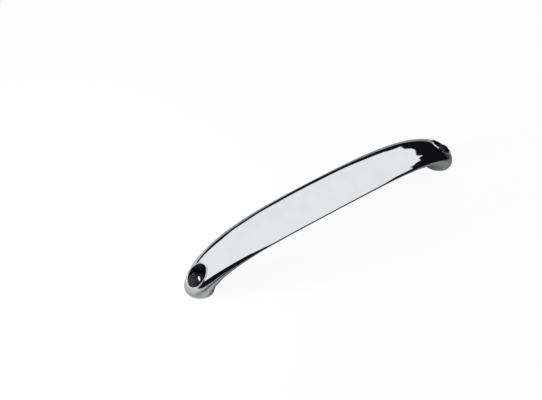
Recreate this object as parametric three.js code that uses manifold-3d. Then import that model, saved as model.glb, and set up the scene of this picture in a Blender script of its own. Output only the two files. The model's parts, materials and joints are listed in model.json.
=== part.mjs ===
// A chrome grab bar (bath grip) that is bolted through a deck or a bath rim.
// One cast bar, and at each foot a hidden fixing set: a long screw under a snap-on
// dome cap, a gasket under the foot, and a pad, two washers and a wing nut behind the deck.
// Millimetres. X runs along the bar, Z points away from the deck, and the origin is on the
// mounting face, midway between the two screws. At rest the nuts are where they clamp a deck
// of medium thickness, and each can be run up to the foot or down towards the screw's tip.

import * as THREE from 'three';
import { mergeVertices } from 'three/addons/utils/BufferGeometryUtils.js';
import Module from 'manifold-3d';

const wasm = await Module();
wasm.setup();

// ---- Bar: driving dimensions ----
const screwCentres = 224;   // distance between the two screws
const barHeight = 35;       // mounting face to the crown of the arch
const bandWidth = 33;       // widest, at mid-length
const bandDepth = 12;       // crown to underside, at mid-length
const crownRise = 3.8;      // crown above the crease, at mid-length
const footLength = 23;      // foot along the bar
const footWidth = 24;       // foot across the bar
const screwSetting = 2;     // how far each screw stands outwards from the middle of its foot

// ---- Bar: how full its curves are (exponents of superellipses; 2 is an ellipse) ----
const shoulderFullness = 3.9;   // top outline, where it turns down to the foot
const crownFullness = 1.8;      // top outline, along the arch
const archFullness = 3.7;       // underside outline, where it turns down to the foot
const archRise = 1.6;           // underside outline, along the arch
const widthFullness = 3;        // how soon the band narrows towards the feet
const topRoundness = 2.1;       // upper half of the cross-section
const bellyRoundness = 1.8;     // lower half of the cross-section

// ---- Bar: the crease that runs round the top face ----
const creaseTip = 0.13;         // where it starts above the foot, as a share of the half arch
const creaseEnd = 0.89;         // from here to mid-length it is the widest line
const creaseSpread = 0.51;      // how fast it opens from the tip
const narrowestFace = 0.12;     // radians from the crown to the crease, at the foot
const widestFace = 1.45;        // radians from the crown to the crease, at mid-length

// ---- Recess for the cap, and the hole through each foot ----
const recessFloor = 6;          // above the mounting face
const holeClearance = 0.5;      // round the screw, in the foot's hole
const cutterMargin = 1;         // how far the cutters reach past the metal

// ---- Gasket under each foot ----
const gasketThickness = 1.6;
const gasketProud = 0.4;        // how far it stands out of the foot
const footRim = 1.5;            // least metal left round the gasket's seat

// ---- Screw, an M6 pan head ----
const screwRadius = 3;
const screwPitch = 1;           // one turn of the nut moves it this far
const screwLength = 45;         // under the head
const headRadius = 5;
const headHeight = 3.4;
const headCrown = 1.4;          // how much of the head's height is rounded off
const slotWidth = 1.2;
const slotDepth = 1.8;
const slotLength = 6;

// ---- Cap seat and dome cap ----
const seatThickness = 1.5;
const capWall = 1.2;
const domeFullness = 0.6;       // the dome's rise as a share of its radius
const headroom = 0.4;           // from the head's shoulder up to the rim of the dome

// ---- Fixings behind the deck ----
const deckThickness = 10;       // the deck that the rest pose leaves room for
const padRadius = 10;
const padThickness = 2;
const washerRadius = 9;
const washerThickness = 1.6;
const lockRadius = 5.9;
const lockThickness = 1.6;
const lockSplit = 0.16;         // radians left open in the split washer
const hubRadius = 6.5;
const hubTipRadius = 5;
const hubHeight = 7;
const wingSpan = 30;
const wingHeight = 15;
const wingThickness = 2.2;
const wingTipRadius = 4;
const wingTipFrom = 1.2;        // radians from outwards, where the tip's arc starts and ends
const wingTipTo = -2.6;
const wingInset = 0.5;          // from the hub's two faces to the edges of a wing's root

// ---- Clearances ----
const gap = 0.3;                // between pieces that touch or slide

// ---- Mesh fineness ----
const ringsPerHalf = 20;
const stepsAcrossFace = 4;      // crown to crease
const stepsDownSide = 2;        // crease to widest line
const stepsUnder = 6;           // widest line to the middle of the underside
const roundSteps = 28;
const arcSteps = 5;
const weldDistance = 1e-4;      // points closer than this are one

// ---- Sizes that follow ----
const footCentre = screwCentres / 2 - screwSetting;
const footReach = footLength / 2;
const edgeHeight = 1 - 2 * crownRise / bandDepth;   // of the widest line, as a share of the half depth
const gasketSeat = Math.min(footLength, footWidth) / 2 - footRim - screwSetting;
const seatBottom = recessFloor + gap;
const headBottom = seatBottom + seatThickness + gap;
const headTop = headBottom + headHeight;
const capInner = headRadius + 2 * gap;
const capOuter = capInner + capWall;
const capRim = headTop - headCrown + headroom;
const domeRise = capOuter * domeFullness;
const recessRadius = capOuter + gap;
const holeRadius = screwRadius + holeClearance;
const boreRadius = screwRadius + gap;
const wingRoot = (boreRadius + hubTipRadius) / 2;   // inside the hub, where a wing starts

// Each piece behind the deck lies under the one before it, a gap apart.
const padTop = -deckThickness - gap;
const washerTop = padTop - padThickness - gap;
const lockTop = washerTop - washerThickness - gap;
const nutTop = lockTop - lockThickness - gap;

// ---- Materials ----
const chrome = { color: 0xe6e8ea, roughness: 0.05, metalness: 1 };
const zincSteel = { color: 0xb9bdc0, roughness: 0.3, metalness: 1 };
const blackPlastic = { color: 0x0b0b0c, roughness: 0.08, metalness: 0 };
const blackRubber = { color: 0x1d1d1e, roughness: 0.85, metalness: 0 };
const greyNylon = { color: 0xc9cac8, roughness: 0.5, metalness: 0 };

// ---- Helpers ----

// A closed solid from a three.js geometry, with only its positions kept.
function solid(geometry) {
  const bare = geometry.clone();
  bare.deleteAttribute('normal');
  bare.deleteAttribute('uv');
  const merged = mergeVertices(bare, weldDistance);
  return new wasm.Manifold(new wasm.Mesh({
    numProp: 3,
    vertProperties: new Float32Array(merged.attributes.position.array),
    triVerts: new Uint32Array(merged.index.array),
  }));
}

function geometryOf(manifold) {
  const mesh = manifold.getMesh();
  const geometry = new THREE.BufferGeometry();
  geometry.setAttribute('position', new THREE.BufferAttribute(mesh.vertProperties, 3));
  geometry.setIndex(new THREE.BufferAttribute(mesh.triVerts, 1));
  geometry.computeVertexNormals();
  return geometry;
}

// An upright round piece from [radius, height] points that close on themselves.
function turned(outline) {
  const points = outline.map(([radius, height]) => new THREE.Vector2(radius, height));
  return new THREE.LatheGeometry(points, roundSteps);
}

// A flat ring, or a disc where the inner radius is nothing, from bottom to top.
function ring(innerRadius, outerRadius, bottom, top) {
  const outline = [[innerRadius, bottom], [outerRadius, bottom], [outerRadius, top], [innerRadius, top]];
  if (innerRadius > 0) {
    outline.push([innerRadius, bottom]);
  }
  return upright(turned(outline));
}

// LatheGeometry turns about Y, so its pieces are stood up along Z.
function upright(geometry) {
  return geometry.rotateX(Math.PI / 2);
}

function power(value, exponent) {
  return Math.abs(value) ** exponent;
}

// Points of a circular arc in a radius-height outline.
function arc(centreRadius, centreHeight, radius, from, to) {
  const points = [];
  for (let step = 0; step <= arcSteps; step += 1) {
    const angle = from + (to - from) * step / arcSteps;
    points.push([centreRadius + radius * Math.cos(angle), centreHeight + radius * Math.sin(angle)]);
  }
  return points;
}

// ---- Bar body ----

// One cross-section of the bar. The turn goes from 0 at the right foot to a quarter
// turn at mid-length, and on to half a turn at the left foot.
function barSection(turn) {
  const side = turn <= Math.PI / 2 ? 1 : -1;
  const theta = side > 0 ? turn : Math.PI - turn;
  const along = Math.cos(theta);
  const up = Math.sin(theta);

  const outerX = (footCentre + footReach) * power(along, 2 / shoulderFullness);
  const crownHeight = barHeight - gasketProud;
  const outerZ = crownHeight * power(up, 2 / crownFullness);
  const innerX = (footCentre - footReach) * power(along, 2 / archFullness);
  const innerZ = (crownHeight - bandDepth) * power(up, 2 / archRise);
  const centre = new THREE.Vector3((outerX + innerX) / 2 * side, 0, (outerZ + innerZ) / 2);
  const outward = new THREE.Vector3((outerX - innerX) / 2 * side, 0, (outerZ - innerZ) / 2);

  const reach = Math.min((outerX + innerX) / 2 / footCentre, 1);
  const narrowing = 1 - reach ** widthFullness;
  const halfWidth = footWidth / 2 + (bandWidth - footWidth) / 2 * narrowing;
  const widest = edgeHeight * Math.sqrt(1 - reach);

  const share = theta / (Math.PI / 2);
  const opened = THREE.MathUtils.clamp((share - creaseTip) / (creaseEnd - creaseTip), 0, 1);
  const crease = THREE.MathUtils.clamp(Math.PI / 2 * opened ** creaseSpread, narrowestFace, widestFace);
  return { centre, outward, halfWidth, widest, crease };
}

// Half of the section's outline from the crown round to the underside, as
// [share of the half depth, share of the half width].
function halfOutline({ widest, crease }) {
  const creaseDepth = widest + (1 - widest) * power(Math.cos(crease), 2 / topRoundness);
  const creaseWidth = power(Math.sin(crease), 2 / topRoundness);
  const points = [];
  for (let step = 0; step < stepsAcrossFace; step += 1) {
    const share = step / stepsAcrossFace;
    points.push([1 - (1 - creaseDepth) * share ** 2, creaseWidth * share]);
  }
  for (let step = 0; step < stepsDownSide; step += 1) {
    const angle = crease + (Math.PI / 2 - crease) * step / stepsDownSide;
    points.push([
      widest + (1 - widest) * power(Math.cos(angle), 2 / topRoundness),
      power(Math.sin(angle), 2 / topRoundness),
    ]);
  }
  for (let step = 0; step <= stepsUnder; step += 1) {
    const angle = Math.PI / 2 * (1 + step / stepsUnder);
    points.push([
      widest - (1 + widest) * power(Math.cos(angle), 2 / bellyRoundness),
      power(Math.sin(angle), 2 / bellyRoundness),
    ]);
  }
  return points;
}

function sectionRing(turn) {
  const section = barSection(turn);
  const half = halfOutline(section);
  const mirrored = half.slice(1, -1).reverse().map(([depth, width]) => [depth, -width]);
  return half.concat(mirrored).map(([depth, width]) => {
    const point = section.centre.clone().addScaledVector(section.outward, depth);
    point.y = section.halfWidth * width;
    return point;
  });
}

// Rings of points joined one to the next, with a flat fan over each end.
function loft(rings) {
  const count = rings[0].length;
  const positions = [];
  rings.forEach((points) => points.forEach((point) => positions.push(point.x, point.y, point.z)));
  const faces = [];
  for (let row = 0; row + 1 < rings.length; row += 1) {
    for (let column = 0; column < count; column += 1) {
      const next = (column + 1) % count;
      const a = row * count + column;
      const b = row * count + next;
      faces.push(a, b, b + count, a, b + count, a + count);
    }
  }
  [0, rings.length - 1].forEach((row) => {
    const middle = new THREE.Vector3();
    rings[row].forEach((point) => middle.addScaledVector(point, 1 / count));
    const hub = positions.length / 3;
    positions.push(middle.x, middle.y, middle.z);
    for (let column = 0; column < count; column += 1) {
      const a = row * count + column;
      const b = row * count + (column + 1) % count;
      faces.push(...(row === 0 ? [hub, b, a] : [hub, a, b]));
    }
  });
  const geometry = new THREE.BufferGeometry();
  geometry.setAttribute('position', new THREE.Float32BufferAttribute(positions, 3));
  geometry.setIndex(faces);
  return geometry;
}

function barBody() {
  const rings = [];
  for (let step = -ringsPerHalf; step <= ringsPerHalf; step += 1) {
    // The rings lie closer together towards mid-length, where the outline runs fastest.
    const rest = Math.abs(step) / ringsPerHalf;
    const theta = Math.PI / 2 * (1 - rest ** 2);
    rings.push(sectionRing(step < 0 ? theta : Math.PI - theta));
  }
  let body = solid(loft(rings)).translate([0, 0, gasketProud]);
  const seatTop = gasketThickness + gap;
  for (const side of [-1, 1]) {
    const x = side * screwCentres / 2;
    const below = -cutterMargin;
    const above = barHeight + cutterMargin;
    const cuts = [
      ring(0, recessRadius, recessFloor, above),
      ring(0, holeRadius, below, above),
      ring(0, gasketSeat, below, seatTop),
    ];
    for (const cut of cuts) {
      body = body.subtract(solid(cut).translate([x, 0, 0]));
    }
  }
  return geometryOf(body);
}

// ---- Pieces of one fixing set, each about its own screw's axis ----

function footGasket() {
  return ring(holeRadius, gasketSeat - gap, 0, gasketThickness);
}

// The washer under the screw head, with a bead that the cap snaps over.
function capSeat() {
  const beadRadius = capInner - gap;
  const chamfer = seatThickness / 3;
  const seatTop = seatBottom + seatThickness;
  return upright(turned([
    [boreRadius, seatBottom],
    [beadRadius - chamfer, seatBottom],
    [beadRadius, seatBottom + chamfer],
    [beadRadius, seatTop - chamfer],
    [beadRadius - chamfer, seatTop],
    [boreRadius, seatTop],
    [boreRadius, seatBottom],
  ]));
}

function domeCap() {
  const domeRadius = (capOuter ** 2 + domeRise ** 2) / (2 * domeRise);
  const centreHeight = capRim + domeRise - domeRadius;
  const outerAngle = Math.acos(capOuter / domeRadius);
  const innerRadius = domeRadius - capWall;
  const innerAngle = Math.acos(capInner / innerRadius);
  return upright(turned([
    [capInner, seatBottom],
    [capOuter, seatBottom],
    ...arc(0, centreHeight, domeRadius, outerAngle, Math.PI / 2),
    ...arc(0, centreHeight, innerRadius, Math.PI / 2, innerAngle),
    [capInner, seatBottom],
  ]));
}

function screw() {
  const tip = headBottom - screwLength;
  let body = solid(upright(turned([
    [0, tip],
    [screwRadius - screwPitch, tip],
    [screwRadius, tip + screwPitch],
    [screwRadius, headBottom],
    [headRadius, headBottom],
    [headRadius, headTop - headCrown],
    [headRadius - headCrown, headTop],
    [0, headTop],
  ])));
  for (const angle of [0, Math.PI / 2]) {
    const slot = new THREE.BoxGeometry(slotLength, slotWidth, slotDepth * 2);
    slot.rotateZ(angle);
    slot.translate(0, 0, headTop);
    body = body.subtract(solid(slot));
  }
  return geometryOf(body);
}

function lockWasher() {
  const from = lockSplit / 2;
  const to = Math.PI * 2 - from;
  const outline = new THREE.Shape();
  outline.absarc(0, 0, lockRadius, from, to, false);
  outline.absarc(0, 0, boreRadius, to, from, true);
  const options = { depth: lockThickness, bevelEnabled: false, curveSegments: roundSteps };
  const geometry = new THREE.ExtrudeGeometry(outline, options);
  geometry.translate(0, 0, lockTop - lockThickness);
  return geometry;
}

// One wing, drawn in the plane of the radius and the depth below the hub's top face.
function wing() {
  const tipCentre = wingSpan / 2 - wingTipRadius;
  const tipHeight = wingTipRadius - wingHeight;
  const outline = new THREE.Shape();
  outline.moveTo(wingRoot, -wingInset);
  outline.absarc(tipCentre, tipHeight, wingTipRadius, wingTipFrom, wingTipTo, true);
  outline.lineTo(wingRoot, wingInset - hubHeight);
  outline.closePath();
  const options = { depth: wingThickness, bevelEnabled: false, curveSegments: arcSteps };
  const geometry = new THREE.ExtrudeGeometry(outline, options);
  geometry.translate(0, 0, -wingThickness / 2);
  geometry.rotateX(Math.PI / 2);
  return geometry;
}

function wingNut() {
  let body = solid(upright(turned([
    [boreRadius, 0],
    [boreRadius, -hubHeight],
    [hubTipRadius, -hubHeight],
    [hubRadius, 0],
    [boreRadius, 0],
  ])));
  for (const angle of [0, Math.PI]) {
    body = body.add(solid(wing().rotateZ(angle)));
  }
  return geometryOf(body.translate([0, 0, nutTop]));
}

// ---- Assembly ----

function piece(name, geometry, finish) {
  const mesh = new THREE.Mesh(geometry, new THREE.MeshStandardMaterial(finish));
  mesh.name = name;
  return mesh;
}

function fixingSet(end) {
  const set = new THREE.Group();
  set.add(
    piece(`cap_${end}`, domeCap(), blackPlastic),
    piece(`cap_seat_${end}`, capSeat(), greyNylon),
    piece(`screw_${end}`, screw(), zincSteel),
    piece(`foot_gasket_${end}`, footGasket(), blackRubber),
    piece(`backing_pad_${end}`, ring(boreRadius, padRadius, padTop - padThickness, padTop), blackRubber),
    piece(`plain_washer_${end}`, ring(boreRadius, washerRadius, washerTop - washerThickness, washerTop), zincSteel),
    piece(`lock_washer_${end}`, lockWasher(), zincSteel),
    piece(`wing_nut_${end}`, wingNut(), zincSteel),
  );
  return set;
}

const grabBar = new THREE.Group();
grabBar.add(piece('bar_body', barBody(), chrome));

const leftSet = fixingSet('left');
leftSet.position.x = -screwCentres / 2;
grabBar.add(leftSet);

const rightSet = fixingSet('right');
rightSet.position.x = screwCentres / 2;
grabBar.add(rightSet);

export default grabBar;
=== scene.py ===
# %% [markdown]
# # A chrome grab bar and its fixing sets
#
# A grab bar for a bath or a deck is one polished casting. A wide, gently crowned band arches
# from one small round foot to the other, and a crisp crease runs all the way round its top.
# Behind a shiny dome in each end hides a long screw, which clamps the bar through the deck
# with a pad, two washers and a wing nut. This lesson builds the fine surface of each piece
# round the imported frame, in metres, in the frame's own place.

# %% Load the frame
import json
import math

import bpy
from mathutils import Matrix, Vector


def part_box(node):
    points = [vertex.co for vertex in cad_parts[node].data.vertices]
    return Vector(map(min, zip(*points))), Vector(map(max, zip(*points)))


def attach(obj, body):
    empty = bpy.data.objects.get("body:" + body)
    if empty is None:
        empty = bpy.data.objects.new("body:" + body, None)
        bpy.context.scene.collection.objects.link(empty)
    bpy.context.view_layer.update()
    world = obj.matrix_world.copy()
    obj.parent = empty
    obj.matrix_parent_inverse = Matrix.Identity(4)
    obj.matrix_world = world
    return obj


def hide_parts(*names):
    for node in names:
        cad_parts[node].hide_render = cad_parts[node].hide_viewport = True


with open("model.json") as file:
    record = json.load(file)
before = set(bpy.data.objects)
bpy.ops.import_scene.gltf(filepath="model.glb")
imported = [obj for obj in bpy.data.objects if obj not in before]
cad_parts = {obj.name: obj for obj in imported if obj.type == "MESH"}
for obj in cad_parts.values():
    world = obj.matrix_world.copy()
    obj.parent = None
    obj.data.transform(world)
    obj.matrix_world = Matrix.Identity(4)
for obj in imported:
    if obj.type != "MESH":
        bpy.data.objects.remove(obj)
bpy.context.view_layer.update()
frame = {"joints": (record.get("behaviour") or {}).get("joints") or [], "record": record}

MM = 0.001
HOLE_RADIUS = 3.5 * MM
BORE_RADIUS = 3.3 * MM
# The dark of the room round the light tent; on the table, seen only in gloss, the same colour is
# painted shade.
DARK_ROOM_AND_PAINTED_SHADE = (0.006, 0.006, 0.007, 1)

# %% [markdown]
# ## Where things are
#
# Every place comes from the frame. Each screw turns about its own upright axis, so the
# hinge joints say where the two ends are, and the boxes of the nodes say how tall and wide
# each piece is.

# %% Places from the frame
END_X = {}
for joint in frame["joints"]:
    if joint["name"].startswith("screw_turn_"):
        END_X[joint["name"].removeprefix("screw_turn_")] = joint["pos_m"][0]

print("the ends stand at", END_X)

# %% [markdown]
# ## The camera
#
# The bar is looked down on from its front left, at about fifty degrees, with a long lens
# that keeps both ends nearly the same size. The aim is a little to the left of the bar
# and beyond it, because a second bar of the pair would lie there.

# %% Camera
VIEW_DISTANCE = 1.087
VIEW_TILT = math.radians(50.8)
VIEW_HEADING = math.radians(33.7)
VIEW_AIM = Vector((-0.0212, 0.0393, 0))
VIEW_LENS = 93.8

looking = Vector((
    math.cos(VIEW_TILT) * math.sin(VIEW_HEADING),
    math.cos(VIEW_TILT) * math.cos(VIEW_HEADING),
    -math.sin(VIEW_TILT),
))
camera_data = bpy.data.cameras.new("camera")
camera_data.lens = VIEW_LENS
camera = bpy.data.objects.new("camera", camera_data)
camera.location = VIEW_AIM - looking * VIEW_DISTANCE
camera.rotation_mode = "QUATERNION"
camera.rotation_quaternion = looking.to_track_quat("-Z", "Y")
bpy.context.scene.collection.objects.link(camera)
bpy.context.scene.camera = camera
print("camera at", [round(x, 3) for x in camera.location])

# %% [markdown]
# ## Working as by hand
#
# Operators act on whatever is selected, so each piece starts from a clean selection. A few
# moves come back for every piece: draw a half outline point by point, turn it on the lathe,
# add a modifier and apply it, and let one shape cut or join another.

# %% Helpers for any mesh
FULL_TURN = 2 * math.pi
MERGE = 0.001 * MM


def deselect():
    if bpy.context.object and bpy.context.object.mode != "OBJECT":
        bpy.ops.object.mode_set(mode="OBJECT")
    bpy.ops.object.select_all(action="DESELECT")


def activate(piece):
    deselect()
    piece.select_set(True)
    bpy.context.view_layer.objects.active = piece


def settle(piece):
    """Puts the piece's place into its mesh."""
    activate(piece)
    bpy.ops.object.transform_apply(location=True, rotation=True, scale=True)


def modify(piece, kind, **settings):
    """Adds one modifier with these settings and applies it."""
    activate(piece)
    modifier = piece.modifiers.new(kind.lower(), kind)
    for name, value in settings.items():
        setattr(modifier, name, value)
    bpy.ops.object.modifier_apply(modifier=modifier.name)


def combine(piece, tool, operation):
    """Cuts the piece with the tool, joins them or keeps what they share, and removes the tool."""
    modify(piece, "BOOLEAN", object=tool, operation=operation, solver="EXACT")
    bpy.data.objects.remove(tool)


def face_outwards(piece):
    activate(piece)
    bpy.ops.object.mode_set(mode="EDIT")
    bpy.ops.mesh.select_all(action="SELECT")
    bpy.ops.mesh.remove_doubles(threshold=MERGE)
    bpy.ops.mesh.normals_make_consistent(inside=False)
    bpy.ops.object.mode_set(mode="OBJECT")


def round_edges(piece, width, segments=3, angle=35):
    modify(piece, "BEVEL", width=width, segments=segments, limit_method="ANGLE",
           angle_limit=math.radians(angle), use_clamp_overlap=True)


def smooth(piece, angle=35):
    activate(piece)
    bpy.ops.object.shade_smooth_by_angle(angle=math.radians(angle))


def report(piece):
    piece.data.calc_loop_triangles()
    size = [round(side / MM, 1) for side in piece.dimensions]
    print(piece.name, "is", size, "mm, with", len(piece.data.loop_triangles), "triangles")


print("helpers for any mesh are ready")

# %% [markdown]
# ### Outlines
#
# An outline is extruded from point to point, then spun about the upright axis.

# %% Drawing an outline and turning it
def draw_outline(name, points):
    """Extrudes one vertex from point to point, in the plane of the radius and the height."""
    deselect()
    bpy.ops.mesh.primitive_plane_add(size=MM)
    piece = bpy.context.object
    piece.name = name
    bpy.ops.object.mode_set(mode="EDIT")
    bpy.ops.mesh.select_mode(type="VERT")
    bpy.ops.mesh.select_all(action="SELECT")
    bpy.ops.mesh.merge(type="CENTER")
    bpy.ops.transform.translate(value=(points[0][0], 0, points[0][1]))
    for (radius, height), (next_radius, next_height) in zip(points, points[1:]):
        step = (next_radius - radius, 0, next_height - height)
        bpy.ops.mesh.extrude_region_move(TRANSFORM_OT_translate={"value": step})
    bpy.ops.object.mode_set(mode="OBJECT")
    return piece


def turn_on_lathe(name, points, steps=96):
    piece = draw_outline(name, points)
    bpy.ops.object.mode_set(mode="EDIT")
    bpy.ops.mesh.select_all(action="SELECT")
    bpy.ops.mesh.spin(steps=steps, angle=FULL_TURN, center=(0, 0, 0), axis=(0, 0, 1))
    bpy.ops.object.mode_set(mode="OBJECT")
    face_outwards(piece)
    return piece


def arc(centre, radius, start, end, steps):
    """Points on an arc, from one angle in degrees to another, as radius and height."""
    points = []
    for step in range(steps + 1):
        angle = math.radians(start + (end - start) * step / steps)
        points.append((centre[0] + radius * math.cos(angle), centre[1] + radius * math.sin(angle)))
    return points


def node_sizes(node):
    """A round node's outer radius, its bottom and its top."""
    low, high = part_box(node)
    return (high.y - low.y) / 2, low.z, high.z


print("lathe is ready")

# %% [markdown]
# ## Finishes
#
# Each finish is one material, and the two effects that they share are node groups: a haze
# of fine wear and a fine grain. The groups only put out values that change over the
# surface, and constant numbers sit on the shader itself.

# %% Node helpers
def add_node(tree, kind, **settings):
    node = tree.nodes.new(kind)
    for name, value in settings.items():
        setattr(node, name, value)
    return node


def new_group(name, inputs, outputs):
    """A shader node group with number inputs and named outputs, and its two end nodes."""
    group = bpy.data.node_groups.new(name, "ShaderNodeTree")
    for label, value in inputs.items():
        socket = group.interface.new_socket(label, in_out="INPUT", socket_type="NodeSocketFloat")
        socket.default_value = value
    for label, kind in outputs.items():
        group.interface.new_socket(label, in_out="OUTPUT", socket_type=kind)
    return group, group.nodes.new("NodeGroupInput"), group.nodes.new("NodeGroupOutput")


def mapped_noise(tree, scale, detail, stretch=(1, 1, 1)):
    """Noise in object space, stretched along one axis or another."""
    place = add_node(tree, "ShaderNodeTexCoord")
    mapping = add_node(tree, "ShaderNodeMapping")
    mapping.inputs["Scale"].default_value = stretch
    noise = add_node(tree, "ShaderNodeTexNoise")
    noise.inputs["Scale"].default_value = scale
    noise.inputs["Detail"].default_value = detail
    tree.links.new(place.outputs["Object"], mapping.inputs["Vector"])
    tree.links.new(mapping.outputs["Vector"], noise.inputs["Vector"])
    return noise


def remap(tree, source, from_low, from_high, to_low, to_high):
    node = add_node(tree, "ShaderNodeMapRange")
    for name, value in (("From Min", from_low), ("From Max", from_high),
                        ("To Min", to_low), ("To Max", to_high)):
        if isinstance(value, (int, float)):
            node.inputs[name].default_value = value
        else:
            tree.links.new(value, node.inputs[name])
    tree.links.new(source, node.inputs["Value"])
    return node.outputs["Result"]


def combine_numbers(tree, operation, first, second):
    node = add_node(tree, "ShaderNodeMath", operation=operation)
    for socket, value in zip(node.inputs, (first, second)):
        if isinstance(value, (int, float)):
            socket.default_value = value
        else:
            tree.links.new(value, socket)
    return node.outputs["Value"]


print("node helpers are ready")

# %% [markdown]
# ### Haze
#
# Handled metal is never evenly clean. Soft smears and fine rub marks raise the roughness.

# %% The haze group: soft smears and fine rub marks
SMEAR_SCALE = 38
SMEAR_DETAIL = 4
SMEAR_RANGE = (0.42, 0.72)
RUB_SCALE = 900
RUB_DETAIL = 2
RUB_STRETCH = (0.05, 1, 1)
RUB_RANGE = (0.66, 0.8)


def haze_group():
    group, start, end = new_group(
        "haze", {"Clean": 0.03, "Smeared": 0.09, "Rubbed": 0.2}, {"Roughness": "NodeSocketFloat"})
    smears = mapped_noise(group, SMEAR_SCALE, SMEAR_DETAIL)
    cloud = remap(group, smears.outputs["Fac"], *SMEAR_RANGE, 0, 1)
    rubs = mapped_noise(group, RUB_SCALE, RUB_DETAIL, RUB_STRETCH)
    lines = remap(group, rubs.outputs["Fac"], *RUB_RANGE, 0, 1)
    level = remap(group, cloud, 0, 1, start.outputs["Clean"], start.outputs["Smeared"])
    mixed = remap(group, lines, 0, 1, level, start.outputs["Rubbed"])
    group.links.new(mixed, end.inputs["Roughness"])
    return group


HAZE = haze_group()
print("group haze is ready")


# %% [markdown]
# ### Grain
#
# The grain is one noise, put out as a height for a bump.

# %% The grain group: a fine uneven surface as a height
GRAIN_SCALE = 400.0
GRAIN_DETAIL = 3.0


def grain_group():
    group, start, end = new_group(
        "grain", {"Scale": GRAIN_SCALE, "Detail": GRAIN_DETAIL}, {"Height": "NodeSocketFloat"})
    noise = mapped_noise(group, GRAIN_SCALE, GRAIN_DETAIL)
    group.links.new(start.outputs["Scale"], noise.inputs["Scale"])
    group.links.new(start.outputs["Detail"], noise.inputs["Detail"])
    group.links.new(noise.outputs["Fac"], end.inputs["Height"])
    return group


GRAIN = grain_group()
print("group grain is ready")


# %% [markdown]
# ### A material from its groups
#
# Every finish here is a Principled BSDF with a base colour that drifts a little between two
# tones, a roughness from the haze group and a height from the grain group. What differs is
# in the numbers, so one function builds them all.

# %% Finish builder
TONE_DETAIL = 3
TONE_FROM = 0.35
TONE_TO = 0.65


def place_group(tree, group, **values):
    node = add_node(tree, "ShaderNodeGroup", node_tree=group)
    for name, value in values.items():
        node.inputs[name].default_value = value
    return node


def finish(name, tones, metal, haze, grain, bump, tone_scale=60):
    """A material: two tones, metal or not, haze levels, grain scale and bump distance."""
    material = bpy.data.materials.new(name)
    material.use_nodes = True
    tree = material.node_tree
    shader = tree.nodes["Principled BSDF"]
    shader.inputs["Metallic"].default_value = metal
    drift = mapped_noise(tree, tone_scale, TONE_DETAIL)
    ramp = add_node(tree, "ShaderNodeValToRGB")
    ramp.color_ramp.elements[0].position = TONE_FROM
    ramp.color_ramp.elements[0].color = (*tones[0], 1)
    ramp.color_ramp.elements[1].position = TONE_TO
    ramp.color_ramp.elements[1].color = (*tones[1], 1)
    tree.links.new(drift.outputs["Fac"], ramp.inputs["Fac"])
    tree.links.new(ramp.outputs["Color"], shader.inputs["Base Color"])
    wear = place_group(tree, HAZE, Clean=haze[0], Smeared=haze[1], Rubbed=haze[2])
    tree.links.new(wear.outputs["Roughness"], shader.inputs["Roughness"])
    height = place_group(tree, GRAIN, Scale=grain, Detail=GRAIN_DETAIL)
    bumps = add_node(tree, "ShaderNodeBump")
    bumps.inputs["Distance"].default_value = bump
    tree.links.new(height.outputs["Height"], bumps.inputs["Height"])
    tree.links.new(bumps.outputs["Normal"], shader.inputs["Normal"])
    return material


FINISHES = {
    "chrome_plate": finish("chrome_plate", [(0.86, 0.87, 0.88), (0.90, 0.91, 0.92)], 1,
                           (0.02, 0.05, 0.12), 90, 0.012 * MM),
    "black_plastic": finish("black_plastic", [(0.008, 0.008, 0.009), (0.014, 0.014, 0.014)], 0,
                            (0.06, 0.12, 0.25), 90, 0.012 * MM),
    "zinc_steel": finish("zinc_steel", [(0.50, 0.51, 0.52), (0.62, 0.62, 0.60)], 1,
                         (0.24, 0.36, 0.5), 1500, 0.03 * MM),
    "black_rubber": finish("black_rubber", [(0.012, 0.012, 0.013), (0.03, 0.03, 0.03)], 0,
                           (0.6, 0.8, 0.9), 2500, 0.05 * MM),
    "grey_nylon": finish("grey_nylon", [(0.56, 0.56, 0.53), (0.66, 0.66, 0.63)], 0,
                         (0.35, 0.5, 0.6), 1200, 0.02 * MM),
}
CAP_GLOSS = 0.15
cap_shader = FINISHES["black_plastic"].node_tree.nodes["Principled BSDF"]
cap_shader.inputs["Specular IOR Level"].default_value = CAP_GLOSS
print("finishes", sorted(FINISHES))

# %% [markdown]
# ## The bar
#
# The bar's section changes all the way along: an oval at the foot, and a wide lens with a
# crowned top and a fuller belly at mid-length. Its side view is two superellipses, one for
# the top and one for the underside, and a section spans them at each turn of the arch. A
# grid primitive is wrapped round those sections like a sleeve, with mesh lines close to
# the crease on both sides, and a subdivision surface then draws the crease as a tight
# rounded edge, as plating does.

# %% The bar's shape
bar_low, bar_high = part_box("bar_body")
SCREW_SETTING = 2 * MM
FOOT_CENTRE = max(END_X.values()) - SCREW_SETTING
BAND_HALF_WIDTH = bar_high.y
CROWN_HEIGHT = bar_high.z - bar_low.z
FOOT_REACH = bar_high.x - FOOT_CENTRE
BAND_DEPTH = 12 * MM
CROWN_RISE = 3.8 * MM
FOOT_HALF_WIDTH = 12 * MM
SHOULDER_FULLNESS = 3.9
CROWN_FULLNESS = 1.8
ARCH_FULLNESS = 3.7
ARCH_RISE = 1.6
WIDTH_FULLNESS = 3
TOP_ROUNDNESS = 2.1
BELLY_ROUNDNESS = 1.8
CREASE_TIP = 0.13
CREASE_END = 0.89
CREASE_SPREAD = 0.51
NARROWEST_FACE = 0.12
WIDEST_FACE = 1.45


def clamp(value, low, high):
    return min(max(value, low), high)


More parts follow.
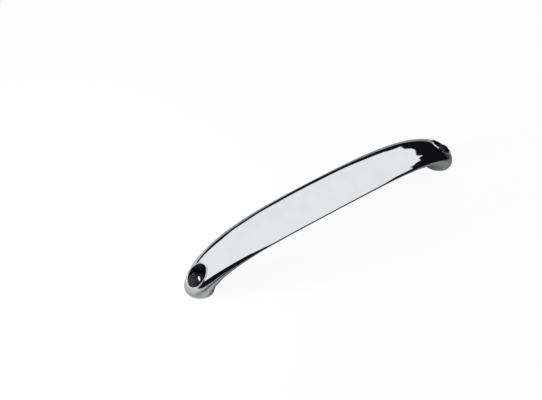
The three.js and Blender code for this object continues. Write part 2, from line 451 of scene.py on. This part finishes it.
def bar_section(turn):
    """Centre, outward half depth, half width, widest line and crease angle of one section.
    The turn goes from 0 at the right foot to half a turn at the left one."""
    side = 1 if turn <= math.pi / 2 else -1
    theta = turn if side > 0 else math.pi - turn
    along, up = max(math.cos(theta), 0), math.sin(theta)
    outer = Vector(((FOOT_CENTRE + FOOT_REACH) * along ** (2 / SHOULDER_FULLNESS), 0,
                    CROWN_HEIGHT * up ** (2 / CROWN_FULLNESS)))
    inner = Vector(((FOOT_CENTRE - FOOT_REACH) * along ** (2 / ARCH_FULLNESS), 0,
                    (CROWN_HEIGHT - BAND_DEPTH) * up ** (2 / ARCH_RISE)))
    reach = min((outer.x + inner.x) / 2 / FOOT_CENTRE, 1)
    widening = 1 - reach ** WIDTH_FULLNESS
    half_width = FOOT_HALF_WIDTH + (BAND_HALF_WIDTH - FOOT_HALF_WIDTH) * widening
    widest = (1 - 2 * CROWN_RISE / BAND_DEPTH) * math.sqrt(1 - reach)
    opened = clamp((theta / (math.pi / 2) - CREASE_TIP) / (CREASE_END - CREASE_TIP), 0, 1)
    crease = clamp(math.pi / 2 * opened ** CREASE_SPREAD, NARROWEST_FACE, WIDEST_FACE)
    outer.x *= side
    inner.x *= side
    lift = Vector((0, 0, bar_low.z))
    return (outer + inner) / 2 + lift, (outer - inner) / 2, half_width, widest, crease


print("the middles of the feet are at", round(FOOT_CENTRE / MM, 1), "mm")

# %% [markdown]
# ### Mesh lines
#
# Lines lie close to the crease on both sides, and further apart on the face and belly.

# %% The mesh lines round a section
EDGE_GRIP = 2.2 * MM
FACE_ROUNDNESS = 3
FACE_LINES = 8
SIDE_LINES = 3
UNDER_LINES = 8
GRIP_LIMIT = 0.4
NEXT_LINE = 1.6
SIDE_STOP = 0.95


def upper_point(angle, widest):
    depth = widest + (1 - widest) * max(math.cos(angle), 0) ** (2 / TOP_ROUNDNESS)
    return depth, math.sin(angle) ** (2 / TOP_ROUNDNESS)


def lower_point(angle, widest):
    depth = widest - (1 + widest) * max(-math.cos(angle), 0) ** (2 / BELLY_ROUNDNESS)
    return depth, max(math.sin(angle), 0) ** (2 / BELLY_ROUNDNESS)


def half_outline(half_width, half_depth, widest, crease):
    """Half the section from crown to underside, as shares of the half depth and half width."""
    crease_depth, crease_width = upper_point(crease, widest)
    grip = min(EDGE_GRIP / (crease_width * half_width), GRIP_LIMIT)
    points = []
    for share in [step / FACE_LINES for step in range(FACE_LINES)] + [1 - grip]:
        share = min(share, 1 - grip * (1 if share == 1 - grip else NEXT_LINE))
        points.append((1 - (1 - crease_depth) * share ** FACE_ROUNDNESS, crease_width * share))
    points.append((crease_depth, crease_width))
    side_length = half_depth * (crease_depth - widest) + MERGE
    side_grip = min(EDGE_GRIP / side_length, GRIP_LIMIT)
    for share in [side_grip] + [step / SIDE_LINES for step in range(1, SIDE_LINES)]:
        share = max(share, side_grip * (1 if share == side_grip else NEXT_LINE))
        below_crease = (math.pi / 2 - crease) * min(share, SIDE_STOP)
        points.append(upper_point(crease + below_crease, widest))
    for step in range(UNDER_LINES + 1):
        points.append(lower_point(math.pi / 2 * (1 + step / UNDER_LINES), widest))
    return points


def section_ring(turn):
    centre, outward, half_width, widest, crease = bar_section(turn)
    half = half_outline(half_width, outward.length, widest, crease)
    whole = half + [(depth, -width) for depth, width in reversed(half[1:-1])]
    return [centre + outward * depth + Vector((0, half_width * width, 0)) for depth, width in whole]


print("one section has", len(section_ring(1.0)), "points")

# %% [markdown]
# ### The skin
#
# The grid is wrapped ring by ring, its ends are filled and inset, and it is subdivided.

# %% Wrap the grid into the bar's skin
RINGS_PER_HALF = 46
FOOT_GRIP = 0.016


def bar_turns():
    """Turns of the arch, closer together at mid-length, with a support ring at each foot."""
    half = [math.pi / 2 * (1 - (1 - step / RINGS_PER_HALF) ** 2) for step in range(RINGS_PER_HALF)]
    half.insert(1, FOOT_GRIP)
    return half + [math.pi / 2] + [math.pi - turn for turn in reversed(half)]


def wrap_bar():
    rings = [section_ring(turn) for turn in bar_turns()]
    columns = len(rings[0])
    deselect()
    bpy.ops.mesh.primitive_grid_add(x_subdivisions=len(rings) - 1, y_subdivisions=columns, size=2)
    bar = bpy.context.object
    bar.name = "chrome_bar"
    for vertex in bar.data.vertices:
        row = round((vertex.co.x + 1) / 2 * (len(rings) - 1))
        column = round((vertex.co.y + 1) / 2 * columns)
        vertex.co = rings[row][column % columns]
    face_outwards(bar)
    bpy.ops.object.mode_set(mode="EDIT")
    bpy.ops.mesh.select_all(action="SELECT")
    bpy.ops.mesh.fill_holes(sides=0)
    bpy.ops.mesh.select_all(action="DESELECT")
    bpy.ops.object.mode_set(mode="OBJECT")
    for face in bar.data.polygons:
        face.select = len(face.vertices) == columns
    bpy.ops.object.mode_set(mode="EDIT")
    bpy.ops.mesh.select_mode(type="FACE")
    bpy.ops.mesh.inset(thickness=EDGE_GRIP, use_individual=True)
    bpy.ops.object.mode_set(mode="OBJECT")
    face_outwards(bar)
    modify(bar, "SUBSURF", levels=1, render_levels=1)
    return bar


bar = wrap_bar()
report(bar)

# %% [markdown]
# ## Recess, screw hole and gasket seat
#
# One turned cutter for each end makes all three: a shallow seat for the gasket from below,
# the hole for the screw, and the round recess that breaks out through the sloping end.

# %% Cut the ends
CAP_CLEARANCE = 0.3 * MM


def cut_ends(bar):
    cap_radius, cap_bottom, _ = node_sizes("cap_right")
    gasket_radius, _, gasket_top = node_sizes("foot_gasket_right")
    recess_radius = cap_radius + CAP_CLEARANCE
    recess_floor = cap_bottom - CAP_CLEARANCE
    seat_radius = gasket_radius + CAP_CLEARANCE
    seat_top = gasket_top + CAP_CLEARANCE
    below, above = -1 * MM, bar_high.z + 2 * MM
    for end, x in END_X.items():
        cutter = turn_on_lathe("cutter", [
            (0, below), (seat_radius, below), (seat_radius, seat_top), (HOLE_RADIUS, seat_top),
            (HOLE_RADIUS, recess_floor), (recess_radius, recess_floor), (recess_radius, above),
            (0, above)])
        cutter.location.x = x
        settle(cutter)
        combine(bar, cutter, "DIFFERENCE")


print("the cutter is ready for", len(END_X), "ends")

# %% [markdown]
# ### The rolled lip
#
# A thin bead lies on the mouth of each recess. It is placed before the cut, while the top is
# still whole, and joined on after it.

# %% Roll the lip of each recess
LIP_RADIUS = 0.45 * MM


def mouth_lip(bar, x, radius):
    """A thin round bead that lies where the wall of the recess meets the sloping top."""
    deselect()
    bpy.ops.mesh.primitive_circle_add(vertices=144, radius=radius, location=(x, 0, 0))
    lip = bpy.context.object
    settle(lip)
    above = 2 * bar_high.z
    for vertex in lip.data.vertices:
        _, place, _, _ = bar.ray_cast((vertex.co.x, vertex.co.y, above), (0, 0, -1))
        vertex.co.z = place.z
    bpy.ops.object.convert(target="CURVE")
    lip.data.bevel_depth = LIP_RADIUS
    lip.data.bevel_resolution = 3
    bpy.ops.object.convert(target="MESH")
    face_outwards(lip)
    return lip


def lipped_ends(bar):
    cap_radius, _, _ = node_sizes("cap_right")
    mouth_radius = cap_radius + CAP_CLEARANCE + LIP_RADIUS
    lips = [mouth_lip(bar, x, mouth_radius) for x in END_X.values()]
    cut_ends(bar)
    for lip in lips:
        combine(bar, lip, "UNION")


lipped_ends(bar)
smooth(bar, 30)
report(bar)

# %% [markdown]
# ## Seating a piece
#
# A piece of the fixing set is modelled once, about the upright axis through the origin, and
# copied to both ends, each copy with its own mesh. The copy rides on its node's body,
# stands for the node, and takes the finish of its slot.

# %% Seat pieces on their bodies
BODY_OF = {}
for body, nodes in frame["record"]["behaviour"]["bodies"].items():
    for node in nodes:
        BODY_OF[node] = body

SLOT_OF = {entry["node"]: entry["material_slot"] for entry in frame["record"]["subparts"]}


def seat(piece, node):
    """The piece stands for the node, in the node's finish, on the node's body."""
    piece.data.materials.clear()
    piece.data.materials.append(FINISHES[SLOT_OF[node]])
    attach(piece, BODY_OF[node])
    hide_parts(node)


def seat_at_both_ends(pattern, node_stem):
    for end, x in END_X.items():
        activate(pattern)
        bpy.ops.object.duplicate()
        copy = bpy.context.object
        copy.name = f"{pattern.name}_{end}"
        copy.location.x = x
        settle(copy)
        seat(copy, f"{node_stem}_{end}")
        report(copy)
    bpy.data.objects.remove(pattern)


seat(bar, "bar_body")
print("the bar rides on", BODY_OF["bar_body"])

# %% [markdown]
# ## The dome cap
#
# The cap is a thin moulded shell: a straight skirt that snaps over its seat, and a round
# dome. Its outline goes up the outside and back down the inside, so the wall is real.

# %% Dome cap
CAP_WALL = 1.2 * MM
DOME_FULLNESS = 0.6
CAP_BEVEL = 0.2 * MM


def dome_cap():
    radius, bottom, top = node_sizes("cap_right")
    rise = DOME_FULLNESS * radius
    dome_radius = (radius ** 2 + rise ** 2) / (2 * rise)
    centre = (0, top - dome_radius)
    inner_radius = radius - CAP_WALL
    outer_angle = math.degrees(math.acos(radius / dome_radius))
    inner_angle = math.degrees(math.acos(inner_radius / (dome_radius - CAP_WALL)))
    outline = [(inner_radius, bottom), (radius, bottom)]
    outline += arc(centre, dome_radius, outer_angle, 90, 12)
    outline += arc(centre, dome_radius - CAP_WALL, 90, inner_angle, 12)
    outline += [(inner_radius, bottom)]
    cap = turn_on_lathe("dome_cap", outline)
    round_edges(cap, CAP_BEVEL, 3, 30)
    smooth(cap)
    return cap


seat_at_both_ends(dome_cap(), "cap")

# %% [markdown]
# ## The cap seat
#
# The screw head presses on a dished nylon washer. The skirt of the cap fits over its
# chamfered rim.

# %% Cap seat
SEAT_DISH = 0.3 * MM
SEAT_BEVEL = 0.15 * MM


def cap_seat():
    radius, bottom, top = node_sizes("cap_seat_right")
    thickness = top - bottom
    chamfer = thickness / 3
    seat_piece = turn_on_lathe("nylon_seat", [
        (BORE_RADIUS, bottom), (radius - chamfer, bottom), (radius, bottom + chamfer),
        (radius, top - chamfer), (radius - chamfer, top), (radius - 2 * chamfer, top),
        (radius - 3 * chamfer, top - SEAT_DISH), (BORE_RADIUS, top - SEAT_DISH), (BORE_RADIUS, bottom)])
    round_edges(seat_piece, SEAT_BEVEL, 2)
    smooth(seat_piece)
    return seat_piece


seat_at_both_ends(cap_seat(), "cap_seat")

# %% [markdown]
# ## Gasket, backing pad and washers
#
# The rubber rings bulge a little at their edges, as rubber does when it is squeezed. The
# plain washer is stamped, so it has one rounded edge and one sharp one. The lock washer is
# a square bar wound into one turn of a spring, with its cut ends standing apart.

# %% Rubber rings
RUBBER_SOFTNESS = 0.35


def rubber_ring(name, node, hole):
    radius, bottom, top = node_sizes(node)
    bulge = (top - bottom) / 2
    middle = (bottom + top) / 2
    soft = RUBBER_SOFTNESS * bulge
    outline = [(hole, bottom), (radius - soft, bottom)]
    outline += arc((radius - soft, bottom + soft), soft, -90, 0, 4)
    outline += arc((radius - soft, top - soft), soft, 0, 90, 4)
    outline += [(hole, top), (hole, middle), (hole, bottom)]
    ring = turn_on_lathe(name, outline)
    smooth(ring, 50)
    return ring


seat_at_both_ends(rubber_ring("gasket_ring", "foot_gasket_right", HOLE_RADIUS), "foot_gasket")
seat_at_both_ends(rubber_ring("pad_ring", "backing_pad_right", BORE_RADIUS), "backing_pad")

# %% [markdown]
# ### Plain washer
#
# Its upper rim is rolled over, as stamping leaves it.

# %% Plain washer
WASHER_ROLL = 0.4 * MM
STAMPED_EDGE = 0.08 * MM
BORE_CHAMFER = 0.3 * MM


def plain_washer():
    radius, bottom, top = node_sizes("plain_washer_right")
    outline = [(BORE_RADIUS, bottom), (radius - STAMPED_EDGE, bottom), (radius, bottom + STAMPED_EDGE)]
    outline += arc((radius - WASHER_ROLL, top - WASHER_ROLL), WASHER_ROLL, 0, 90, 5)
    outline += [(BORE_RADIUS + BORE_CHAMFER, top), (BORE_RADIUS, top - BORE_CHAMFER),
                (BORE_RADIUS, bottom)]
    washer = turn_on_lathe("washer_disc", outline)
    smooth(washer)
    return washer


seat_at_both_ends(plain_washer(), "plain_washer")

# %% [markdown]
# ### Lock washer
#
# A flat rectangle is wound almost all the way round, and rises a little as it goes.

# %% Lock washer
LOCK_CUT = math.radians(9)
WIRE_SHARE = 0.82
SPRING_BEVEL = 0.12 * MM


def lock_washer():
    radius, bottom, top = node_sizes("lock_washer_right")
    section = WIRE_SHARE * (top - bottom)
    rise = (top - bottom) - section
    middle = (radius + BORE_RADIUS) / 2
    width = radius - BORE_RADIUS
    deselect()
    bpy.ops.mesh.primitive_plane_add(size=1, rotation=(math.pi / 2, 0, 0))
    spring = bpy.context.object
    spring.name = "spring_ring"
    spring.scale = (width, section, 1)
    spring.location = (middle, 0, bottom + section / 2)
    settle(spring)
    modify(spring, "SCREW", angle=FULL_TURN - LOCK_CUT, screw_offset=rise, steps=72,
           render_steps=72, axis="Z", use_merge_vertices=False)
    face_outwards(spring)
    activate(spring)
    bpy.ops.object.mode_set(mode="EDIT")
    bpy.ops.mesh.select_all(action="SELECT")
    bpy.ops.mesh.fill_holes(sides=0)
    bpy.ops.mesh.normals_make_consistent(inside=False)
    bpy.ops.transform.rotate(value=-LOCK_CUT / 2, orient_axis="Z", center_override=(0, 0, 0))
    bpy.ops.object.mode_set(mode="OBJECT")
    round_edges(spring, SPRING_BEVEL, 2)
    smooth(spring)
    return spring


seat_at_both_ends(lock_washer(), "lock_washer")

# %% [markdown]
# ## The screw
#
# The head and shank are turned. A cross is sunk into the head, and the thread is a
# triangular ridge wound up the shank by a screw modifier and joined to it.

# %% Screw
PITCH = 1 * MM
SHANK_RADIUS = 3 * MM
THREAD_DEPTH = 0.55 * MM
HEAD_CROWN = 1.4 * MM
HEAD_BOTTOM = 8.1 * MM
HEAD_CHAMFER = 0.2 * MM
HEAD_BEVEL = 0.1 * MM
THREAD_LENGTH = 38 * MM
THREAD_ROOT = 0.1 * MM
THREAD_HALF_HEIGHT = 0.46 * PITCH
TIP_CHAMFER = 0.5 * MM
TIP_DRAW_IN = 0.4 * MM
CROSS_LENGTH = 6 * MM
CROSS_WIDTH = 1.2 * MM
CROSS_HEIGHT = 3.6 * MM


def thread_ridge(tip):
    core = SHANK_RADIUS - THREAD_DEPTH
    deselect()
    bpy.ops.mesh.primitive_circle_add(vertices=3, radius=MM, fill_type="NGON")
    ridge = bpy.context.object
    ridge.name = "thread"
    root = core - THREAD_ROOT
    corners = [(SHANK_RADIUS, 0), (root, -THREAD_HALF_HEIGHT), (root, THREAD_HALF_HEIGHT)]
    for vertex, (radius, height) in zip(ridge.data.vertices, corners):
        vertex.co = (radius, 0, tip + PITCH / 2 + height)
    turns = int(THREAD_LENGTH / PITCH)
    modify(ridge, "SCREW", angle=FULL_TURN, screw_offset=PITCH, iterations=turns, steps=32,
           render_steps=32, axis="Z", use_merge_vertices=True, merge_threshold=MERGE)
    activate(ridge)
    bpy.ops.object.mode_set(mode="EDIT")
    bpy.ops.mesh.select_all(action="SELECT")
    bpy.ops.mesh.remove_doubles(threshold=MERGE)
    bpy.ops.mesh.fill_holes(sides=4)
    bpy.ops.mesh.normals_make_consistent(inside=False)
    bpy.ops.object.mode_set(mode="OBJECT")
    return ridge


def cross_cutter(top):
    deselect()
    bpy.ops.mesh.primitive_cube_add(size=1, location=(0, 0, top))
    cross = bpy.context.object
    cross.scale = (CROSS_LENGTH, CROSS_WIDTH, CROSS_HEIGHT)
    settle(cross)
    bpy.ops.mesh.primitive_cube_add(size=1, location=(0, 0, top))
    other = bpy.context.object
    other.scale = (CROSS_WIDTH, CROSS_LENGTH, CROSS_HEIGHT)
    settle(other)
    combine(cross, other, "UNION")
    return cross


def screw():
    radius, tip, top = node_sizes("screw_right")
    crown = top - HEAD_CROWN
    core = SHANK_RADIUS - THREAD_DEPTH
    plain_from = tip + THREAD_LENGTH + PITCH
    outline = [(0, tip), (core - TIP_DRAW_IN, tip), (core, tip + TIP_CHAMFER),
               (core, plain_from - TIP_CHAMFER), (SHANK_RADIUS, plain_from),
               (SHANK_RADIUS, HEAD_BOTTOM), (radius - HEAD_CHAMFER, HEAD_BOTTOM),
               (radius, HEAD_BOTTOM + HEAD_CHAMFER), (radius, crown)]
    outline += arc((radius - HEAD_CROWN, crown), HEAD_CROWN, 0, 90, 6)[1:]
    outline += [(0, top)]
    body = turn_on_lathe("machine_screw", outline, 64)
    combine(body, cross_cutter(top), "DIFFERENCE")
    round_edges(body, HEAD_BEVEL, 2, 50)
    combine(body, thread_ridge(tip), "UNION")
    smooth(body)
    return body


seat_at_both_ends(screw(), "screw")

# %% [markdown]
# ## The wing nut
#
# It is cast: a tapered hub with two ears that sweep down and outwards. A voxel remesh melts
# hub and ears into one body with soft fillets, and then a plain bore is cut through.

# %% Wing nut
WING_THICKNESS = 2.2 * MM
WING_TIP_RADIUS = 4 * MM
WING_INSET = 0.5 * MM
HUB_TIP_RADIUS = 5 * MM
HUB_RADIUS = 6.5 * MM
HUB_HEIGHT = 7 * MM
WING_ARC_FROM = 69
WING_ARC_TO = -149
MELT_SIZE = 0.28 * MM
MELT_ROUNDS = 14


def wing(top, span, height):
    tip_centre = (span - WING_TIP_RADIUS, top - height + WING_TIP_RADIUS)
    root = (BORE_RADIUS + HUB_TIP_RADIUS) / 2
    outline = [(root, top - WING_INSET)]
    outline += arc(tip_centre, WING_TIP_RADIUS, WING_ARC_FROM, WING_ARC_TO, 14)
    outline += [(root, top - HUB_HEIGHT + WING_INSET), (root, top - WING_INSET)]
    ear = draw_outline("ear", outline)
    bpy.ops.object.mode_set(mode="EDIT")
    bpy.ops.mesh.select_all(action="SELECT")
    bpy.ops.mesh.remove_doubles(threshold=MERGE)
    bpy.ops.mesh.edge_face_add()
    bpy.ops.mesh.extrude_region_move(TRANSFORM_OT_translate={"value": (0, WING_THICKNESS, 0)})
    bpy.ops.mesh.select_all(action="SELECT")
    bpy.ops.transform.translate(value=(0, -WING_THICKNESS / 2, 0))
    bpy.ops.mesh.normals_make_consistent(inside=False)
    bpy.ops.object.mode_set(mode="OBJECT")
    return ear


def wing_nut():
    _, low, top = node_sizes("wing_nut_right")
    box_low, box_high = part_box("wing_nut_right")
    span = (box_high.x - box_low.x) / 2
    nut = turn_on_lathe("cast_nut", [
        (0, top), (HUB_RADIUS, top), (HUB_TIP_RADIUS, top - HUB_HEIGHT), (0, top - HUB_HEIGHT)])
    for turn in (0, math.pi):
        ear = wing(top, span, top - low)
        ear.rotation_euler.z = turn
        settle(ear)
        combine(nut, ear, "UNION")
    modify(nut, "REMESH", mode="VOXEL", voxel_size=MELT_SIZE, use_smooth_shade=True)
    modify(nut, "SMOOTH", factor=0.5, iterations=MELT_ROUNDS)
    deselect()
    bpy.ops.mesh.primitive_cylinder_add(vertices=64, radius=BORE_RADIUS, depth=3 * HUB_HEIGHT,
                                        location=(0, 0, top - HUB_HEIGHT / 2))
    bore = bpy.context.object
    settle(bore)
    combine(nut, bore, "DIFFERENCE")
    smooth(nut, 40)
    return nut


seat_at_both_ends(wing_nut(), "wing_nut")

# %% [markdown]
# ## The table and the studio
#
# The pale table lies at the mounting face. The camera sees it near white. Chrome sees a darker
# grey copy of it, lit, with the soft shade round the feet, and with painted shade on top: a
# painted shadow under the band, and in front of the bar a painted darkening towards a grazing
# look, a painted reflection of the dark room. It is clear from behind, so that the fixings
# under it can be looked at from below.

# %% Table
TABLE_SIDE = 3.0
TABLE_GLOW = 0.9
TABLE_WHITE = (1.02, 1.02, 1.02, 1)
TABLE_PAPER = 0.8
# The table as chrome sees it: a darker grey copy of the white table that only gloss sees, painted
# shade.
TABLE_IN_CHROME = (0.36, 0.36, 0.37, 1)
# Painted reflection of the dark room: in gloss, the table darkens towards a grazing look, in front of
# the bar and right of the left foot's outer side.
STEEP_LOOK = 0.27
GRAZING_LOOK = 0.5
PAINTED_LIT_SIDE = (-0.135, -0.115)
BACK_TO_FRONT = (0.02, -0.02)
# Painted shadow under the band: an oval on the table, seen only in gloss, darkest over its middle.
SHADE_REACH = (0.105, 0.035)
SHADE_FULL_AT = 0.6
SHADE_DEPTH = 0.9

bpy.ops.mesh.primitive_plane_add(size=TABLE_SIDE)
table = bpy.context.object
table.name = "table"


def mix_shaders(tree, factor, first, second):
    mixed = add_node(tree, "ShaderNodeMixShader")
    tree.links.new(factor, mixed.inputs["Fac"])
    tree.links.new(first, mixed.inputs[1])
    tree.links.new(second, mixed.inputs[2])
    return mixed.outputs["Shader"]


def diffuse(tree, color):
    node = add_node(tree, "ShaderNodeBsdfDiffuse")
    node.inputs["Color"].default_value = color
    return node.outputs["BSDF"]


def emission(tree, color, strength):
    node = add_node(tree, "ShaderNodeEmission")
    node.inputs["Color"].default_value = color
    node.inputs["Strength"].default_value = strength
    return node.outputs["Emission"]


def table_with_painted_shade():
    material = bpy.data.materials.new("table_paper_with_painted_shade")
    material.use_nodes = True
    tree = material.node_tree
    tree.nodes.remove(tree.nodes["Principled BSDF"])
    path = add_node(tree, "ShaderNodeLightPath")
    side = add_node(tree, "ShaderNodeNewGeometry")
    # Painted reflection of the dark room: darker towards a grazing look, in front of the bar and right
    # of the left foot.
    look = add_node(tree, "ShaderNodeLayerWeight")
    grazing = remap(tree, look.outputs["Facing"], STEEP_LOOK, GRAZING_LOOK, 0, 1)
    place = add_node(tree, "ShaderNodeTexCoord")
    split = add_node(tree, "ShaderNodeSeparateXYZ")
    tree.links.new(place.outputs["Object"], split.inputs["Vector"])
    unlit = remap(tree, split.outputs["X"], *PAINTED_LIT_SIDE, 0, 1)
    in_front = remap(tree, split.outputs["Y"], *BACK_TO_FRONT, 0, 1)
    painted_dark_side = combine_numbers(tree, "MULTIPLY", unlit, in_front)
    painted_room_reflection = combine_numbers(tree, "MULTIPLY", grazing, painted_dark_side)
    # Painted shadow: an oval under the band, darkest over its middle.
    across = combine_numbers(tree, "DIVIDE", split.outputs["X"], SHADE_REACH[0])
    along = combine_numbers(tree, "DIVIDE", split.outputs["Y"], SHADE_REACH[1])
    squares = [combine_numbers(tree, "MULTIPLY", share, share) for share in (across, along)]
    shade = remap(tree, combine_numbers(tree, "ADD", *squares), 1, SHADE_FULL_AT, 0, SHADE_DEPTH)
    dark = combine_numbers(tree, "MAXIMUM", painted_room_reflection, shade)
    paper = add_node(tree, "ShaderNodeAddShader")
    grey = TABLE_PAPER * (1 - TABLE_GLOW)
    tree.links.new(diffuse(tree, (grey, grey, grey, 1)), paper.inputs[0])
    tree.links.new(emission(tree, TABLE_WHITE, TABLE_GLOW), paper.inputs[1])
    # Gloss sees a darker grey copy of the table, with the painted shadow and the painted reflection
    # mixed in as the dark.
    shaded_copy_in_gloss = diffuse(tree, TABLE_IN_CHROME)
    gloss_view_with_painted_shade = mix_shaders(tree, dark, shaded_copy_in_gloss, emission(tree, DARK_ROOM_AND_PAINTED_SHADE, 1))
    by_ray = mix_shaders(tree, path.outputs["Is Glossy Ray"], paper.outputs["Shader"], gloss_view_with_painted_shade)
    clear = add_node(tree, "ShaderNodeBsdfTransparent")
    by_side = mix_shaders(tree, side.outputs["Backfacing"], by_ray, clear.outputs["BSDF"])
    tree.links.new(by_side, tree.nodes["Material Output"].inputs["Surface"])
    return material


table.data.materials.append(table_with_painted_shade())
print("table is", TABLE_SIDE, "m wide")

# %% [markdown]
# ### Light
#
# One big soft tent of light hangs over the table, and the room round it is dark. Polished
# metal shows the tent's edge as crisp black lines wherever its surface turns away. The tent
# stands open to the right, where its uneven edge climbs, and that makes the black shapes on
# the right-hand shoulder. A lamp from the left gives the feet their lighter side.

# %% Studio
TENT_EDGE = 0.42
TENT_SOFTNESS = 0.03
TENT_OPENING = 1.5
TENT_SAG = 0.86
TENT_LEFT_DROP = 0.35
TENT_FRONT_OPENING = 0.8
TENT_RAGGED = 1.1
TENT_WHITE = (0.87, 0.87, 0.88, 1)
LIGHT_FROM_BELOW = (0.5, 0.5, 0.52, 1)
BELOW_TABLE = -0.03
FOLD_SCALE = 5
FOLD_DETAIL = 2

bpy.context.scene.view_settings.view_transform = "Standard"


def studio():
    world = bpy.data.worlds.new("studio")
    bpy.context.scene.world = world
    world.use_nodes = True
    tree = world.node_tree
    around = tree.nodes["Background"]
    place = add_node(tree, "ShaderNodeTexCoord")
    split = add_node(tree, "ShaderNodeSeparateXYZ")
    tree.links.new(place.outputs["Generated"], split.inputs["Vector"])
    rightward = combine_numbers(tree, "MAXIMUM", split.outputs["X"], 0)
    widening = combine_numbers(tree, "POWER", rightward, 2)
    opening = combine_numbers(tree, "MULTIPLY", widening, TENT_OPENING)
    sag = combine_numbers(tree, "MULTIPLY", rightward, TENT_SAG)
    drop = combine_numbers(tree, "SUBTRACT", opening, sag)
    frontward = combine_numbers(tree, "MINIMUM", split.outputs["Y"], 0)
    front_widening = combine_numbers(tree, "MULTIPLY", frontward, frontward)
    front_drop = combine_numbers(tree, "MULTIPLY", front_widening, TENT_FRONT_OPENING)
    drop = combine_numbers(tree, "ADD", drop, front_drop)
    leftward = combine_numbers(tree, "MINIMUM", split.outputs["X"], 0)
    lowered = combine_numbers(tree, "MULTIPLY", leftward, TENT_LEFT_DROP)
    whole_drop = combine_numbers(tree, "ADD", drop, lowered)
    height = combine_numbers(tree, "SUBTRACT", split.outputs["Z"], whole_drop)
    folds = add_node(tree, "ShaderNodeTexNoise")
    folds.inputs["Scale"].default_value = FOLD_SCALE
    folds.inputs["Detail"].default_value = FOLD_DETAIL
    tree.links.new(place.outputs["Generated"], folds.inputs["Vector"])
    centred = combine_numbers(tree, "SUBTRACT", folds.outputs["Fac"], 0.5)
    folded = combine_numbers(tree, "MULTIPLY", centred, rightward)
    ragged = combine_numbers(tree, "MULTIPLY", folded, TENT_RAGGED)
    edge = combine_numbers(tree, "ADD", height, ragged)
    ramp = add_node(tree, "ShaderNodeValToRGB")
    ramp.color_ramp.elements[0].position = TENT_EDGE - TENT_SOFTNESS
    ramp.color_ramp.elements[0].color = DARK_ROOM_AND_PAINTED_SHADE
    ramp.color_ramp.elements[1].position = TENT_EDGE
    ramp.color_ramp.elements[1].color = TENT_WHITE
    tree.links.new(edge, ramp.inputs["Fac"])
    tree.links.new(ramp.outputs["Color"], around.inputs["Color"])
    ground = add_node(tree, "ShaderNodeBackground")
    ground.inputs["Color"].default_value = LIGHT_FROM_BELOW
    below = combine_numbers(tree, "LESS_THAN", split.outputs["Z"], BELOW_TABLE)
    room = mix_shaders(tree, below, around.outputs["Background"], ground.outputs["Background"])
    white = add_node(tree, "ShaderNodeBackground")
    path = add_node(tree, "ShaderNodeLightPath")
    by_ray = mix_shaders(tree, path.outputs["Is Camera Ray"], room, white.outputs["Background"])
    tree.links.new(by_ray, tree.nodes["World Output"].inputs["Surface"])


def lamp(name, toward, distance, size, power, in_chrome):
    """A round lamp in this direction, which either lights the table or shows in gloss."""
    data = bpy.data.lights.new(name, "AREA")
    data.shape = "DISK"
    data.size = size
    data.energy = power
    lamp_object = bpy.data.objects.new(name, data)
    direction = Vector(toward).normalized()
    lamp_object.location = direction * distance
    lamp_object.rotation_mode = "QUATERNION"
    lamp_object.rotation_quaternion = direction.to_track_quat("Z", "Y")
    lamp_object.visible_glossy = in_chrome
    lamp_object.visible_diffuse = not in_chrome
    bpy.context.scene.collection.objects.link(lamp_object)
    return lamp_object


print("light tent is ready")

# %% [markdown]
# ### The lamps
#
# One lamp lights the feet from the left. The other lights only the left cap, and makes
# its highlight without touching the chrome round it.

# %% Light one cap on its own
LEFT_LAMP_TOWARD = (-0.32, 0.10, 0.075)
LEFT_LAMP_DISTANCE = 0.34
LEFT_LAMP_SIZE = 0.06
LEFT_LAMP_POWER = 1.2
SPARK_TOWARD = (0.62, -0.16, 0.77)
SPARK_DISTANCE = 1.2
SPARK_SIZE = 1.5
SPARK_POWER = 500

lit_cap = bpy.data.collections.new("lit_cap")
lit_cap.objects.link(bpy.data.objects["dome_cap_left"])

studio()
lamp("left_lamp", LEFT_LAMP_TOWARD, LEFT_LAMP_DISTANCE, LEFT_LAMP_SIZE, LEFT_LAMP_POWER, False)
spark = lamp("cap_spark", SPARK_TOWARD, SPARK_DISTANCE, SPARK_SIZE, SPARK_POWER, True)
spark.light_linking.receiver_collection = lit_cap
print("studio is lit")
